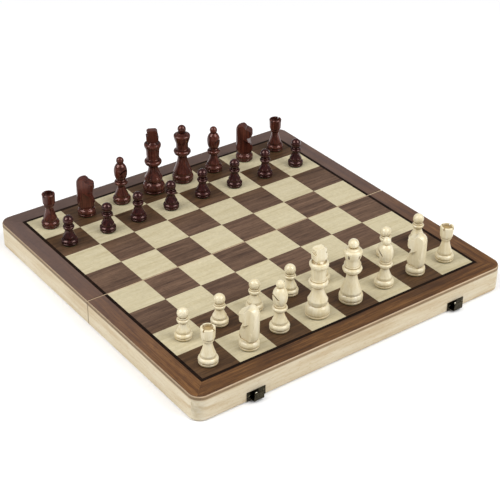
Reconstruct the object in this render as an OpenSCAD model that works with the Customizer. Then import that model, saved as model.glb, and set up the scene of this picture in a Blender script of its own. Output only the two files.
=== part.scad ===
// Folding chess box with a full set of men, open flat as a board.
// Two equal half-boxes hinge along the seam between the fourth and fifth ranks, rims down.
// X runs along the front edge, Y towards the back half, Z up. The origin is on the surface
// that the box stands on, under the middle of the seam. Lengths are in millimetres.

/* [Board] */
// Side of one square
square_w = 42; // [38:0.5:50]
// Border round the playing field, with the inlaid line
border_w = 22.5; // [17:0.5:32]
// Width of the black inlaid line
line_w = 3.5; // [1:0.5:5]
// Height of one half-box
half_h = 27; // [25:0.5:40]
// Radius of the upright corners
corner_r = 12.5; // [8:0.5:16]
// Bevel along the top edges of each panel
bevel_w = 0.8; // [0.3:0.1:1.2]

/* [Timber] */
// Thickness of the veneer
veneer_t = 0.6; // [0.4:0.1:1]
// Thickness of the plywood panel under the veneer
panel_t = 3.4; // [2.5:0.1:5]
// Thickness of the pine walls
wall_t = 9; // [8.5:0.5:12]
// Thickness of the felt inside each half
lining_t = 1; // [0.5:0.1:2]

/* [Hinges] */
// Distance of each hinge from the middle of the seam
hinge_x = 110; // [60:5:140]
// Length of a hinge
hinge_w = 30; // [24:1:40]
// Radius of the hinge barrel
barrel_r = 1.6; // [1.4:0.05:2]
// Radius of the hinge pin
hinge_pin_r = 0.75; // [0.6:0.05:0.9]
// Reach of a leaf from the hinge line
leaf_reach = 7.6; // [6.5:0.1:8]
// Thickness of a leaf
leaf_t = 0.9; // [0.6:0.05:1]
// Distance of the hinge screws from the hinge's middle
screw_x = 9.5; // [8:0.5:11]
// Shank radius of a hinge screw
screw_r = 1; // [0.7:0.05:1.1]
// Head radius of a hinge screw
screw_head_r = 1.9; // [1.6:0.05:2.2]
// Length of a hinge screw
screw_h = 9; // [6:0.5:14]

/* [Latches] */
// Distance of each latch from the middle of the box
latch_x = 124.5; // [80:0.5:150]
// Length of a latch plate along the wall
plate_w = 21; // [19:0.5:26]
// Height of a latch plate
plate_h = 9.5; // [8.5:0.5:12]
// Thickness of the latch sheet metal
sheet_t = 0.8; // [0.5:0.1:1]
// Width of the keeper's lip
lip_w = 10.8; // [9:0.1:12]
// How far the keeper stands out from the wall
lip_reach = 5.8; // [4.5:0.1:7]
// Height of the lip's edge above the rim
lip_h = 9; // [7:0.1:11]
// Width of the latch lever
lever_w = 10; // [8:0.1:11]
// Length of the lever beyond its catch
lever_tab_h = 2.6; // [1.5:0.1:4]
// Height of the lever's pivot above the rim
pivot_h = 4.5; // [3.5:0.1:6]
// Radius of the lever's pivot pin
latch_pin_r = 0.8; // [0.6:0.05:1]
// Radius of the lever's rolled eye
eye_r = 1.7; // [1.5:0.05:1.9]
// Shank radius of a latch nail
nail_r = 0.6; // [0.4:0.05:0.8]
// Length of a latch nail in the wood
nail_h = 6; // [4:0.5:7.5]

/* [Clearances] */
// Hairline joint between veneers
joint_gap = 0.04; // [0.02:0.01:0.1]
// Gap between the halves along the seam
seam_gap = 0.3; // [0.1:0.05:0.5]
// Radial clearance of a turning pin
turn_gap = 0.05; // [0.02:0.01:0.1]
// Radial clearance of a fixed pin, nail or screw
snug_gap = 0.01; // [0.005:0.005:0.02]
// Side clearance between knuckles and beside a lever
side_gap = 0.2; // [0.1:0.05:0.4]
// Clearance where sheet metal passes or seats
pass_gap = 0.3; // [0.2:0.05:0.5]

/* [Men] */
// Felt under each man
foot_felt_t = 0.8; // [0.4:0.1:1.5]
// Height of the plinth ring at the foot of a man
plinth_h = 2.3; // [1.5:0.1:3]

/* [King] */
// Foot radius of a king
king_foot_r = 12.3; // [11:0.1:15]
// Height of a king's foot above its felt
king_foot_h = 12.4; // [9:0.1:14]
// Stem of a king, from the foot to the collar
king_stem_h = 24.6; // [21:0.2:32]
// Crown of a king, from the collar to its rim
king_crown_h = 22; // [19:0.2:28]
// Cross of a king, above the crown's rim
king_cross_h = 16.4; // [13:0.2:20]
// Collar radius of a king
king_collar_r = 9.7; // [9:0.1:11]
// Neck radius of a king
king_neck_r = 5.2; // [4:0.1:6]

/* [Queen] */
// Foot radius of a queen
queen_foot_r = 12.1; // [11:0.1:15]
// Height of a queen's foot above its felt
queen_foot_h = 8.6; // [8:0.1:12]
// Stem of a queen, from the foot to the collar
queen_stem_h = 28; // [22:0.2:34]
// Crown of a queen, from the collar to its widest point
queen_crown_h = 19.2; // [17:0.2:25]
// Radius of the ball on a queen
queen_ball_r = 4.8; // [3:0.1:6]
// Collar radius of a queen
queen_collar_r = 9.8; // [9:0.1:11]
// Neck radius of a queen
queen_neck_r = 5.1; // [4:0.1:6]
// Notches round a queen's crown
queen_notches = 5; // [4:1:9]
// Width of a notch in a queen's crown
queen_notch_w = 1.5; // [0.8:0.1:2.5]

/* [Bishop] */
// Foot radius of a bishop
bishop_foot_r = 10; // [9:0.1:12]
// Height of a bishop's foot above its felt
bishop_foot_h = 7.6; // [6:0.1:10]
// Stem of a bishop, from the foot to the collar
bishop_stem_h = 16.8; // [14:0.2:22]
// Mitre of a bishop, from the collar to its ball
bishop_mitre_h = 22.4; // [19:0.2:28]
// Radius of a bishop's mitre
bishop_mitre_r = 7.4; // [6.5:0.1:9]
// Radius of the ball on a bishop
bishop_ball_r = 4.3; // [3:0.1:5.5]
// Neck radius of a bishop
bishop_neck_r = 4; // [3:0.1:5]

/* [Knight] */
// Foot radius of a knight
knight_foot_r = 10; // [9:0.1:12]
// Height of a knight's foot above its felt
knight_foot_h = 8; // [6:0.1:10]
// Head of a knight above its foot
knight_head_h = 35.4; // [31:0.2:42]
// Radius of the round blank that the head is cut from
knight_blank_r = 9.7; // [9:0.1:11]
// Thickness of a knight's head at its top
knight_head_t = 11.5; // [9:0.1:14]

/* [Rook] */
// Foot radius of a rook
rook_foot_r = 9.7; // [9:0.1:12]
// Height of a rook's foot above its felt
rook_foot_h = 7.4; // [6:0.1:10]
// Stem of a rook, from the foot to the turret
rook_stem_h = 18.2; // [14:0.2:24]
// Turret of a rook
rook_turret_h = 13.4; // [10:0.2:18]
// Turret radius of a rook
rook_turret_r = 7.1; // [6.5:0.1:9]
// Hollow in a rook's turret
rook_hollow_h = 3; // [2:0.1:5]
// Width of the slots in a rook's rim
rook_slot_w = 1.6; // [1:0.1:3]

/* [Pawn] */
// Foot radius of a pawn
pawn_foot_r = 8.9; // [8:0.1:11]
// Height of a pawn's foot above its felt
pawn_foot_h = 6.4; // [5:0.1:8]
// Stem of a pawn, from the foot to the collar
pawn_stem_h = 13.6; // [11:0.2:18]
// Radius of a pawn's ball
pawn_ball_r = 5.7; // [5:0.1:7]
// Collar radius of a pawn
pawn_collar_r = 6.1; // [5.5:0.1:8]

/* [Hidden] */
$fn = 64;
walnut = [0.36, 0.24, 0.19];
maple = [0.82, 0.77, 0.62];
pine = [0.87, 0.80, 0.66];
plywood = [0.62, 0.53, 0.38];
black_dye = [0.13, 0.09, 0.10];
green_felt = [0.10, 0.30, 0.18];
brass = [0.80, 0.65, 0.32];
bronze = [0.33, 0.28, 0.18];
men_colours = [[0.93, 0.89, 0.76], [0.30, 0.13, 0.10]];

// The men: kings stand on the d file and queens on the e file.
sides = ["light", "dark"];
file_names = "abcdefgh";
home_men = ["rook", "knight", "bishop", "king", "queen", "bishop", "knight", "rook"];
// Where each man stands, off the middle of its square, to the right and to the back.
home_off = [
    [[-3, -4], [0, -6], [-2, 0], [1, -1], [1, -1], [3, 0], [2, -1], [1, 0]],
    [[-3, 0], [-1, -1], [2, 0], [2, 0], [0, 2], [0, 1], [2, 2], [4, 1]]
];
pawn_off = [
    [[0, 0], [-1, -1], [-1, 0], [1, 1], [0, 2], [-2, 1], [-2, 0], [1, 0]],
    [[-4, -1], [0, -2], [-3, -1], [-3, -1], [-2, 1], [-2, -1], [-2, -2], [0, -2]]
];
// Heading of the knights and of the bishops' slits, in degrees from +X.
knight_turn = [123, -46];
bishop_turn = [[170, 150], [-75, -60]];
king_turn = [-8, -28];
queen_turn = 131;

field = 4 * square_w;
half_w = field + border_w;
rim_z = barrel_r;
top_z = rim_z + half_h;
panel_top = top_z - veneer_t;
wall_top = panel_top - panel_t;
seam_y = seam_gap / 2;
wall_in = half_w - wall_t;
leaf_z = rim_z + pass_gap / 2;
barrel_clear = barrel_r + pass_gap;
knuckle_w = (hinge_w - 2 * side_gap) / 3;
pivot_y = (lip_reach + pass_gap + 2 * sheet_t + side_gap + pass_gap) / 2;
lever_out = lip_reach + pass_gap - pivot_y + pass_gap / 2;
catch_h = pivot_h + lip_h + pass_gap;
lever_h = catch_h + sheet_t + lever_tab_h;
nail_x = (plate_w + lip_w) / 4;
nail_z = rim_z + 0.56 * plate_h;
much = 2 * half_w;

function man_name(s, row, f) =
    str(sides[s], "_", row == 0 ? home_men[f] : "pawn", "_", file_names[f],
        s == 0 ? 1 + row : 8 - row);

// A box between two corners.
module block(low, high) {
    translate(low) cube(high - low);
}

// A straight bar along X with a section drawn as [y, z].
module bar(x0, x1, section) {
    translate([x0, 0, 0]) rotate([90, 0, 90]) linear_extrude(x1 - x0) polygon(section);
}

// A round rod along X.
module rod(x0, x1, y, z, r) {
    translate([x0, y, z]) rotate([0, 90, 0]) cylinder(r = r, h = x1 - x0);
}

// The back half repeats the front half across the seam.
module to_back() {
    mirror([0, 1, 0]) children();
}

// The outside of the two free corners of the front half, to cut away. Over the last
// flare of the height the corner leans in with the bevel.
module corner_waste(z0, z1, flare) {
    r = corner_r;
    for (side = [-1, 1])
        translate([side * (half_w - corner_r), corner_r - half_w, 0])
            difference() {
                block([side < 0 ? -2 * r : 0, -2 * r, z0 - 1], [side < 0 ? 0 : 2 * r, 0, z1 + 1]);
                translate([0, 0, z0 - 2]) cylinder(r = r, h = z1 - flare - z0 + 2);
                translate([0, 0, z1 - flare - 0.01])
                    cylinder(r1 = r, r2 = r - flare - 2, h = flare + 2);
            }
}

// Flat slab with the outline of the front half, taken in by an inset.
module half_slab(z0, z1, inset = 0) {
    w = half_w - inset;
    difference() {
        block([-w, -w, z0], [w, -seam_y - inset, z1]);
        for (side = [-1, 1])
            translate([side * (half_w - corner_r), corner_r - half_w, 0])
                difference() {
                    block([side < 0 ? -much : 0, -much, z0 - 1], [side < 0 ? 0 : much, 0, z1 + 1]);
                    translate([0, 0, z0 - 2]) cylinder(r = corner_r - inset, h = z1 - z0 + 4);
                }
    }
}

module front_latch_wall() {
    color(pine) difference() {
        intersection() {
            half_slab(rim_z, wall_top);
            block([-half_w, -half_w, rim_z], [half_w, -wall_in, wall_top]);
        }
        latch_nails(snug_gap);
    }
}

module front_side_walls() {
    color(pine) intersection() {
        half_slab(rim_z, wall_top);
        for (side = [-1, 1])
            block([side < 0 ? -half_w : wall_in, -wall_in, rim_z],
                  [side < 0 ? -wall_in : half_w, -seam_y, wall_top]);
    }
}

// Wall along the seam, let in for the hinge leaves and barrels.
module front_hinge_wall() {
    color(pine) difference() {
        block([-wall_in, -seam_y - wall_t, rim_z], [wall_in, -seam_y, wall_top]);
        for (side = [-1, 1]) {
            x = side * hinge_x;
            block([x - hinge_w / 2 - side_gap, -leaf_reach - side_gap, rim_z - 1],
                  [x + hinge_w / 2 + side_gap, 0, leaf_z + leaf_t]);
            rod(x - hinge_w / 2 - side_gap, x + hinge_w / 2 + side_gap, 0, rim_z, barrel_clear);
        }
        hinge_screws(snug_gap);
    }
}

// Plywood panel with a bevel round its top edges.
module front_panel() {
    color(plywood) difference() {
        intersection() {
            bar(-half_w, half_w, [
                [-half_w, wall_top], [-seam_y, wall_top], [-seam_y, panel_top - bevel_w],
                [-seam_y - bevel_w, panel_top], [bevel_w - half_w, panel_top],
                [-half_w, panel_top - bevel_w]]);
            rotate([90, 0, 0]) linear_extrude(half_w) polygon([
                [-half_w, wall_top], [half_w, wall_top], [half_w, panel_top - bevel_w],
                [half_w - bevel_w, panel_top], [bevel_w - half_w, panel_top],
                [-half_w, panel_top - bevel_w]]);
        }
        corner_waste(wall_top, panel_top, bevel_w);
    }
}

// Three walnut strips, mitred at the corners.
module front_border_veneer() {
    inner = field + line_w;
    edge = inner + joint_gap;
    seam = seam_y + bevel_w;
    color(walnut) intersection() {
        half_slab(panel_top, top_z, bevel_w);
        translate([0, 0, panel_top]) linear_extrude(veneer_t) {
            polygon([[joint_gap - half_w, -half_w], [half_w - joint_gap, -half_w],
                     [inner, -edge], [-inner, -edge]]);
            for (side = [-1, 1])
                polygon([[side * half_w, joint_gap - half_w], [side * edge, -inner],
                         [side * edge, -seam], [side * half_w, -seam]]);
        }
    }
}

// Black line round three sides of the half field.
module front_inlay_line() {
    outer = field + line_w;
    inner = field + joint_gap;
    seam = seam_y + bevel_w;
    color(black_dye) difference() {
        block([-outer, -outer, panel_top], [outer, -seam, top_z]);
        block([-inner, -inner, panel_top - 1], [inner, 1, top_z + 1]);
    }
}

// Squares of one colour on four ranks, trimmed back at the seam.
module squares(first_rank, parity) {
    gap = joint_gap / 2;
    seam = seam_y + bevel_w;
    for (rank = [first_rank:first_rank + 3]) for (file = [0:7])
        if ((rank + file) % 2 == parity) {
            x = (file - 4) * square_w;
            y = (rank - 4) * square_w;
            block([x + gap, rank == 4 ? seam : y + gap, panel_top],
                  [x + square_w - gap, rank == 3 ? -seam : y + square_w - gap, top_z]);
        }
}

module front_felt_lining() {
    color(green_felt)
        block([side_gap - wall_in, side_gap - wall_in, wall_top - lining_t],
              [wall_in - side_gap, -seam_y - wall_t - side_gap, wall_top]);
}

// Countersunk screws up into the hinge wall; grow widens them to make their holes.
module hinge_screws(grow = 0) {
    for (side = [-1, 1]) for (end = [-1, 1])
        translate([side * hinge_x + end * screw_x, -(leaf_reach + barrel_r) / 2, leaf_z]) {
            cylinder(r1 = screw_head_r + grow, r2 = screw_r + grow, h = leaf_t);
            cylinder(r = screw_r + grow, h = screw_h + grow);
        }
}

// Leaf with its knuckles. The fixed leaf has the two outer knuckles, the other the middle one.
module hinge_leaf(x, outer, bore) {
    end = hinge_w / 2;
    mid = knuckle_w / 2;
    spans = outer ? [[-end, -mid - side_gap], [mid + side_gap, end]] : [[-mid, mid]];
    difference() {
        union() {
            block([x - end, -leaf_reach, leaf_z], [x + end, -barrel_clear, leaf_z + leaf_t]);
            for (s = spans) {
                block([x + s[0], -barrel_clear - 0.1, leaf_z], [x + s[1], 0, leaf_z + leaf_t]);
                rod(x + s[0], x + s[1], 0, rim_z, barrel_r);
            }
        }
        rod(x - end - 1, x + end + 1, 0, rim_z, bore);
    }
}

module hinge_leaves(outer, bore) {
    color(brass) difference() {
        for (side = [-1, 1]) hinge_leaf(side * hinge_x, outer, bore);
        hinge_screws(snug_gap);
    }
}

module hinge_pins() {
    color(brass) for (side = [-1, 1])
        rod(side * hinge_x - hinge_w / 2, side * hinge_x + hinge_w / 2, 0, rim_z, hinge_pin_r);
}

// Nails through the latch plates into the wall, with domed heads.
module latch_nails(grow = 0) {
    for (side = [-1, 1]) for (end = [-1, 0, 1])
        translate([side * latch_x + end * nail_x, -half_w - sheet_t, nail_z])
            rotate([-90, 0, 0]) cylinder(r = nail_r + grow, h = nail_h + sheet_t + grow, $fn = 24);
}

module nail_heads() {
    for (side = [-1, 1]) for (end = [-1, 0, 1])
        translate([side * latch_x + end * nail_x, -half_w - sheet_t, nail_z])
            rotate([90, 0, 0]) rotate_extrude($fn = 24)
                polygon([[0, 0], [2 * nail_r, 0], [1.7 * nail_r, 0.25], [nail_r, 0.45], [0, 0.5]]);
}

module fasteners() {
    color(bronze) {
        latch_nails();
        nail_heads();
    }
    color(brass) hinge_screws();
}

// Plate against the wall, with its nail holes.
module latch_plate(x) {
    difference() {
        block([x - plate_w / 2, -half_w - sheet_t, rim_z + pass_gap / 2],
              [x + plate_w / 2, -half_w, rim_z + plate_h]);
        latch_nails(snug_gap);
    }
}

// Keeper: a plate with a lip turned out and up from its rim edge.
module latch_keepers() {
    foot = rim_z + pass_gap / 2;
    out = -half_w - lip_reach;
    bend = 2 * sheet_t;
    section = concat(
        [[-half_w - sheet_t / 2, foot]],
        [for (a = [0:15:90]) [out + bend - bend * sin(a), foot + bend - bend * cos(a)]],
        [[out, rim_z + lip_h], [out + sheet_t, rim_z + lip_h]],
        [for (a = [90:-15:0])
            [out + bend - sheet_t * sin(a), foot + bend - sheet_t * cos(a)]],
        [[-half_w - sheet_t / 2, foot + sheet_t]]);
    color(bronze) for (side = [-1, 1]) {
        x = side * latch_x;
        latch_plate(x);
        bar(x - lip_w / 2, x + lip_w / 2, section);
    }
}

// Plate with two ears that hold the pivot pin.
module latch_plates() {
    y = -half_w - pivot_y;
    z = rim_z + pivot_h;
    color(bronze) for (side = [-1, 1]) {
        x = side * latch_x;
        latch_plate(x);
        for (end = [-1, 1]) {
            near = x + end * (lever_w / 2 + side_gap);
            far = near + end * sheet_t;
            x0 = min(near, far);
            difference() {
                union() {
                    block([x0, y, z - eye_r], [x0 + sheet_t, -half_w - sheet_t / 2, z + eye_r]);
                    rod(x0, x0 + sheet_t, y, z, eye_r);
                }
                rod(x0 - 1, x0 + sheet_t + 1, y, z, latch_pin_r + snug_gap);
            }
        }
    }
}

module latch_pins() {
    reach = lever_w / 2 + side_gap + sheet_t + side_gap;
    color(brass) for (side = [-1, 1])
        rod(side * latch_x - reach, side * latch_x + reach,
            -half_w - pivot_y, rim_z + pivot_h, latch_pin_r);
}

// Lever folded up against the wall: a rolled eye, a cranked blade and a tongue that is
// lanced out of the blade and catches over the keeper's lip when the box is shut.
module latch_lever(side) {
    x = side * latch_x;
    tongue_w = 0.6 * lever_w;
    tongue_h = lip_reach - sheet_t - pass_gap;
    color(bronze) translate([x, -half_w - pivot_y, rim_z + pivot_h]) difference() {
        union() {
            rod(-lever_w / 2, lever_w / 2, 0, 0, eye_r);
            bar(-lever_w / 2, lever_w / 2, [
                [eye_r - sheet_t, 0], [eye_r, 0], [lever_out + sheet_t, 2 * eye_r],
                [lever_out + sheet_t, lever_h], [lever_out, lever_h],
                [lever_out, 2 * eye_r + sheet_t / 2], [0, eye_r - 0.1], [0, 0]]);
            block([-tongue_w / 2, lever_out - tongue_h + sheet_t, catch_h],
                  [tongue_w / 2, lever_out + sheet_t / 2, catch_h + sheet_t]);
        }
        rod(-lever_w, lever_w, 0, 0, latch_pin_r + turn_gap);
        block([-tongue_w / 2, lever_out - sheet_t / 4, catch_h - tongue_h],
              [tongue_w / 2, lever_out + 2 * sheet_t, catch_h]);
    }
}

// Points along an elliptical quarter from [r0, z0] to [r1, z1], leaving upright (up = true)
// or level (up = false).
function quarter(r0, z0, r1, z1, up, n = 6) = [for (i = [0:n]) let (a = 90 * i / n)
    up ? [r1 + (r0 - r1) * cos(a), z0 + (z1 - z0) * sin(a)]
       : [r0 + (r1 - r0) * sin(a), z1 + (z0 - z1) * cos(a)]];

// Points along part of an ellipse that leaves [r0, z0] upright and reaches [r1, z1] at a slant.
function bulge(r0, z0, r1, z1, slant = 62, n = 5) = [for (i = [0:n]) let (a = slant * i / n)
    [r1 + (r0 - r1) * (cos(a) - cos(slant)) / (1 - cos(slant)),
     z0 + (z1 - z0) * sin(a) / sin(slant)]];

function backwards(p) = [for (i = [len(p) - 1:-1:0]) p[i]];

// Points along a smooth S-curve between two radii.
function sweep(r0, z0, r1, z1, n = 6) = [for (i = [0:n]) let (t = i / n)
    [r1 + (r0 - r1) * (1 + cos(180 * t)) / 2, z0 + (z1 - z0) * t]];

// Points along a flare that is steep at [r0, z0] and upright at [r1, z1].
function flare(r0, z0, r1, z1, power, n = 7) = [for (i = [0:n]) let (t = i / n)
    [r1 + (r0 - r1) * pow(1 - t, power), z0 + (z1 - z0) * t]];

// Points round a ball of radius r centred at height z, starting at a given radius.
function ball(r, z, start_r, n = 12) = let (a0 = -acos(start_r / r))
    [for (i = [0:n]) let (a = a0 + (90 - a0) * i / n) [i == n ? 0 : r * cos(a), z + r * sin(a)]];

// Outline without doubled points.
function tidy(p) = [for (i = [0:len(p) - 1]) if (i == 0 || norm(p[i] - p[i - 1]) > 0.02) p[i]];

// Foot of a man: plinth ring, groove and a moulding that closes in to the waist.
function foot(r, h, waist_r) = let (
    z = foot_felt_t, groove = z + plinth_h, widest = groove + 0.36 * (h - plinth_h)) concat(
    [[0, z], [r - 0.7, z]],
    quarter(r - 0.7, z, r - 0.2, z + 0.8, false, 3),
    quarter(r - 0.2, groove - 0.5, r - 0.8, groove, true, 3),
    [[r - 0.8, groove + 0.3]],
    backwards(bulge(r, widest, r - 0.8, groove + 0.3, 62, 3)),
    bulge(r, widest, waist_r, z + h));

// Bell over the waist, rounded at its widest, and the stem that flares down to it.
function stem(waist_r, z, bell_r, bell_h, neck_r, neck_z, power) = concat(
    backwards(bulge(bell_r, z + bell_h, waist_r, z + 0.2, 70, 4)),
    flare(bell_r, z + bell_h + 0.4, neck_r, neck_z, power));

// Collar: a bowl up to its edge, rounded over to the bead above it.
function collar(neck_r, r, z, rise, bead_r) = concat(
    quarter(neck_r, z - rise, r, z, false, 5),
    quarter(r, z, bead_r - 0.3, z + 0.45 * rise, true, 4),
    quarter(bead_r - 0.3, z + 0.5 * rise, bead_r, z + 0.5 * rise + 0.8, false, 3),
    quarter(bead_r, z + 0.5 * rise + 0.8, bead_r - 0.5, z + 0.5 * rise + 1.6, true, 3));

module turned(points) {
    rotate_extrude() polygon(tidy(points));
}

module foot_felt(r) {
    cylinder(r = r - 1.2, h = foot_felt_t + snug_gap);
}

// King's cross: arms that widen outwards, cut from a flat block.
module cross(w, h, t) {
    notch = 0.16 * w;
    rotate([90, 0, 0]) translate([0, 0, -t / 2]) linear_extrude(t) difference() {
        polygon([[-0.34 * w, 0], [0.34 * w, 0], [0.36 * w, 0.12 * h], [0.5 * w, 0.2 * h],
                 [0.52 * w, 0.56 * h], [0.4 * w, 0.68 * h], [0.45 * w, 0.9 * h],
                 [0.3 * w, h], [-0.3 * w, h], [-0.45 * w, 0.9 * h], [-0.4 * w, 0.68 * h],
                 [-0.52 * w, 0.56 * h], [-0.5 * w, 0.2 * h], [-0.36 * w, 0.12 * h]]);
        for (side = [-1, 1]) {
            translate([side * 0.45 * w, 0.66 * h]) circle(r = notch / 2, $fn = 24);
            translate([side * 0.46 * w, 0.1 * h]) circle(r = notch / 2, $fn = 24);
        }
    }
}

module king() {
    r = king_foot_r;
    waist_r = r - 3.4;
    foot_z = foot_felt_t + king_foot_h;
    collar_z = foot_z + king_stem_h;
    rim = collar_z + king_crown_h;
    crown_r = king_collar_r - 0.2;
    waist_z = collar_z + 0.4 * king_crown_h;
    turned(concat(
        foot(r, king_foot_h, waist_r),
        stem(waist_r, foot_z, r - 2.3, 4.6, king_neck_r, collar_z - 6.4, 1.6),
        collar(king_neck_r, king_collar_r, collar_z, 4.8, king_collar_r - 2),
        sweep(king_collar_r - 2.6, collar_z + 6.2, king_collar_r - 2.4, waist_z, 2),
        quarter(king_collar_r - 2.4, waist_z, crown_r - 0.7, rim - 4.6, true, 5),
        backwards(bulge(crown_r, rim - 1.8, crown_r - 0.7, rim - 4.4, 62, 3)),
        quarter(crown_r, rim - 1.6, crown_r - 1.8, rim + 0.6, true, 4),
        [[crown_r - 2.4, rim + 0.6], [crown_r - 3, rim], [4, rim + 2],
         [0, rim + 2]]));
    translate([0, 0, rim + 1]) cross(13.2, king_cross_h - 1, 7.6);
}

module queen() {
    r = queen_foot_r;
    waist_r = r - 1.9;
    foot_z = foot_felt_t + queen_foot_h;
    collar_z = foot_z + queen_stem_h;
    crown_z = collar_z + queen_crown_h;
    crown_r = queen_collar_r - 0.4;
    ball_z = crown_z + 3.9 + queen_ball_r * 0.84;
    difference() {
        turned(concat(
            foot(r, queen_foot_h, waist_r),
            stem(waist_r, foot_z, r - 1.5, 2.6, queen_neck_r, collar_z - 6.4, 1.45),
            collar(queen_neck_r, queen_collar_r, collar_z, 4.6, queen_collar_r - 2.4),
            sweep(queen_collar_r - 3, collar_z + 5.6, queen_collar_r - 2.9, collar_z + 8.4, 2),
            sweep(queen_collar_r - 2.9, collar_z + 8.6, crown_r - 0.6, crown_z - 2.8, 5),
            quarter(crown_r - 0.6, crown_z - 2.8, crown_r, crown_z - 1, false, 3),
            bulge(crown_r, crown_z, crown_r - 2.2, crown_z + 2, 75, 4),
            quarter(crown_r - 2.8, crown_z + 2.1, queen_ball_r * 0.58, crown_z + 3.9, true, 4),
            ball(queen_ball_r, ball_z, queen_ball_r * 0.55)));
        for (i = [0:queen_notches - 1])
            rotate([0, 0, queen_turn + i * 360 / queen_notches])
                translate([crown_r + 0.9, queen_notch_w / 2, crown_z - 3.9])
                    rotate([90, 0, 0]) cylinder(r = 2.6, h = queen_notch_w);
    }
}

module bishop(turn) {
    r = bishop_foot_r;
    waist_r = r - 2.7;
    foot_z = foot_felt_t + bishop_foot_h;
    collar_z = foot_z + bishop_stem_h;
    mitre_z = collar_z + 0.6 * bishop_mitre_h;
    tip_z = collar_z + bishop_mitre_h;
    tip_r = bishop_ball_r * 0.62;
    difference() {
        turned(concat(
            foot(r, bishop_foot_h, waist_r),
            stem(waist_r, foot_z, r - 2.6, 2, bishop_neck_r, collar_z - 4.8, 1.5),
            collar(bishop_neck_r, bishop_mitre_r, collar_z, 3.6, bishop_mitre_r - 1.9),
            backwards(bulge(bishop_mitre_r, mitre_z, 0.66 * bishop_mitre_r, collar_z + 4.2, 80, 6)),
            bulge(bishop_mitre_r, mitre_z, tip_r, tip_z + 0.6, 72, 7),
            ball(bishop_ball_r, tip_z + 0.5 + bishop_ball_r * 0.74, tip_r)));
        rotate([0, 0, turn]) translate([bishop_mitre_r * 0.9, 0, mitre_z + 1.6])
            rotate([0, -58, 0]) block([-4, -bishop_mitre_r, -0.45], [9, bishop_mitre_r, 0.45]);
    }
}

module rook() {
    r = rook_foot_r;
    waist_r = r - 2.5;
    foot_z = foot_felt_t + rook_foot_h;
    cup_z = foot_z + rook_stem_h;
    top = cup_z + rook_turret_h;
    neck_r = 0.58 * rook_turret_r;
    difference() {
        turned(concat(
            foot(r, rook_foot_h, waist_r),
            stem(waist_r, foot_z, r - 2.3, 2.2, neck_r, cup_z - 3.6, 1.5),
            sweep(neck_r, cup_z - 3.4, neck_r + 1.1, cup_z - 1, 3),
            quarter(neck_r + 1.2, cup_z - 0.9, neck_r + 1.5, cup_z, false, 2),
            quarter(neck_r + 1.5, cup_z, neck_r + 1, cup_z + 0.8, true, 2),
            quarter(neck_r + 1, cup_z + 1, rook_turret_r - 0.4, cup_z + 3.4, false, 4),
            [[rook_turret_r, top - 0.6], [rook_turret_r - 0.5, top],
             [rook_turret_r - 1.9, top], [rook_turret_r - 2.1, top - rook_hollow_h],
             [0, top - rook_hollow_h]]));
        for (turn = [20, 110])
            rotate([0, 0, turn])
                block([-2 * rook_turret_r, -rook_slot_w / 2, top - 0.8 * rook_hollow_h],
                      [2 * rook_turret_r, rook_slot_w / 2, top + 1]);
    }
}

// Knight: a round blank cut flat on both sides to a horse's head, with chamfered jaws.
module knight() {
    r = knight_foot_r;
    foot_z = foot_felt_t + knight_foot_h;
    b = knight_blank_r;
    h = knight_head_h;
    waist = b - 2;
    turned(concat(foot(r, knight_foot_h, waist), [[waist - 0.4, foot_z + 0.6],
        [waist - 0.4, foot_z + 1.4], [0, foot_z + 1.4]]));
    translate([0, 0, foot_z + 1]) difference() {
        intersection() {
            turned(concat([[0, 0]],
                quarter(waist - 0.4, 0, b, 0.18 * h, false, 6),
                [[b, 0.8 * h]],
                quarter(b, 0.8 * h, 0.4 * b, h, true, 6),
                [[0, h]]));
            rotate([90, 0, 0]) translate([0, 0, -2 * b]) linear_extrude(4 * b) polygon(concat(
                [[-2 * b, -1], [2 * b, -1], [b, 0.18 * h], [0.46 * b, 0.55 * h],
                 [0.44 * b, 0.58 * h], [0.56 * b, 0.59 * h]],
                quarter(0.56 * b, 0.59 * h, b, 0.67 * h, false, 3),
                quarter(b, 0.77 * h, 0.84 * b, 0.81 * h, true, 3),
                [[0.26 * b, 0.89 * h]],
                [for (a = [25:20:145]) [-0.36 * b + 0.64 * b * cos(a), 0.84 * h + 0.16 * h * sin(a)]],
                [[-0.95 * b, 0.86 * h], [-1.05 * b, 0.4 * h], [-2 * b, 0.2 * h]]));
            bar(-2 * b, 2 * b, [
                [-b - 1, -1], [b + 1, -1], [b + 1, 0.05 * h], [0.66 * knight_head_t, 0.3 * h],
                [knight_head_t / 2, h + 1], [-knight_head_t / 2, h + 1],
                [-0.66 * knight_head_t, 0.3 * h], [-b - 1, 0.05 * h]]);
        }
        // Planes that narrow the throat and the breast below the jaw on each side.
        for (side = [-1, 1])
            translate([-0.25 * b, side * 0.62 * knight_head_t, 0.57 * h])
                rotate([0, 32, side * -24])
                    block([0, side < 0 ? -2 * b : 0, -0.9 * h], [2 * b, side < 0 ? 0 : 2 * b, 0]);
    }
}

module pawn() {
    r = pawn_foot_r;
    waist_r = r - 2.2;
    foot_z = foot_felt_t + pawn_foot_h;
    collar_z = foot_z + pawn_stem_h;
    ball_z = collar_z + 2.5 + pawn_ball_r * 0.84;
    turned(concat(
        foot(r, pawn_foot_h, waist_r),
        stem(waist_r, foot_z, r - 2, 2.2, 4, collar_z - 3.6, 1.5),
        collar(4, pawn_collar_r, collar_z, 2.8, pawn_collar_r - 1.2),
        [[pawn_ball_r * 0.66, ball_z - pawn_ball_r * 0.76]],
        ball(pawn_ball_r, ball_z, pawn_ball_r * 0.64)));
}

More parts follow.
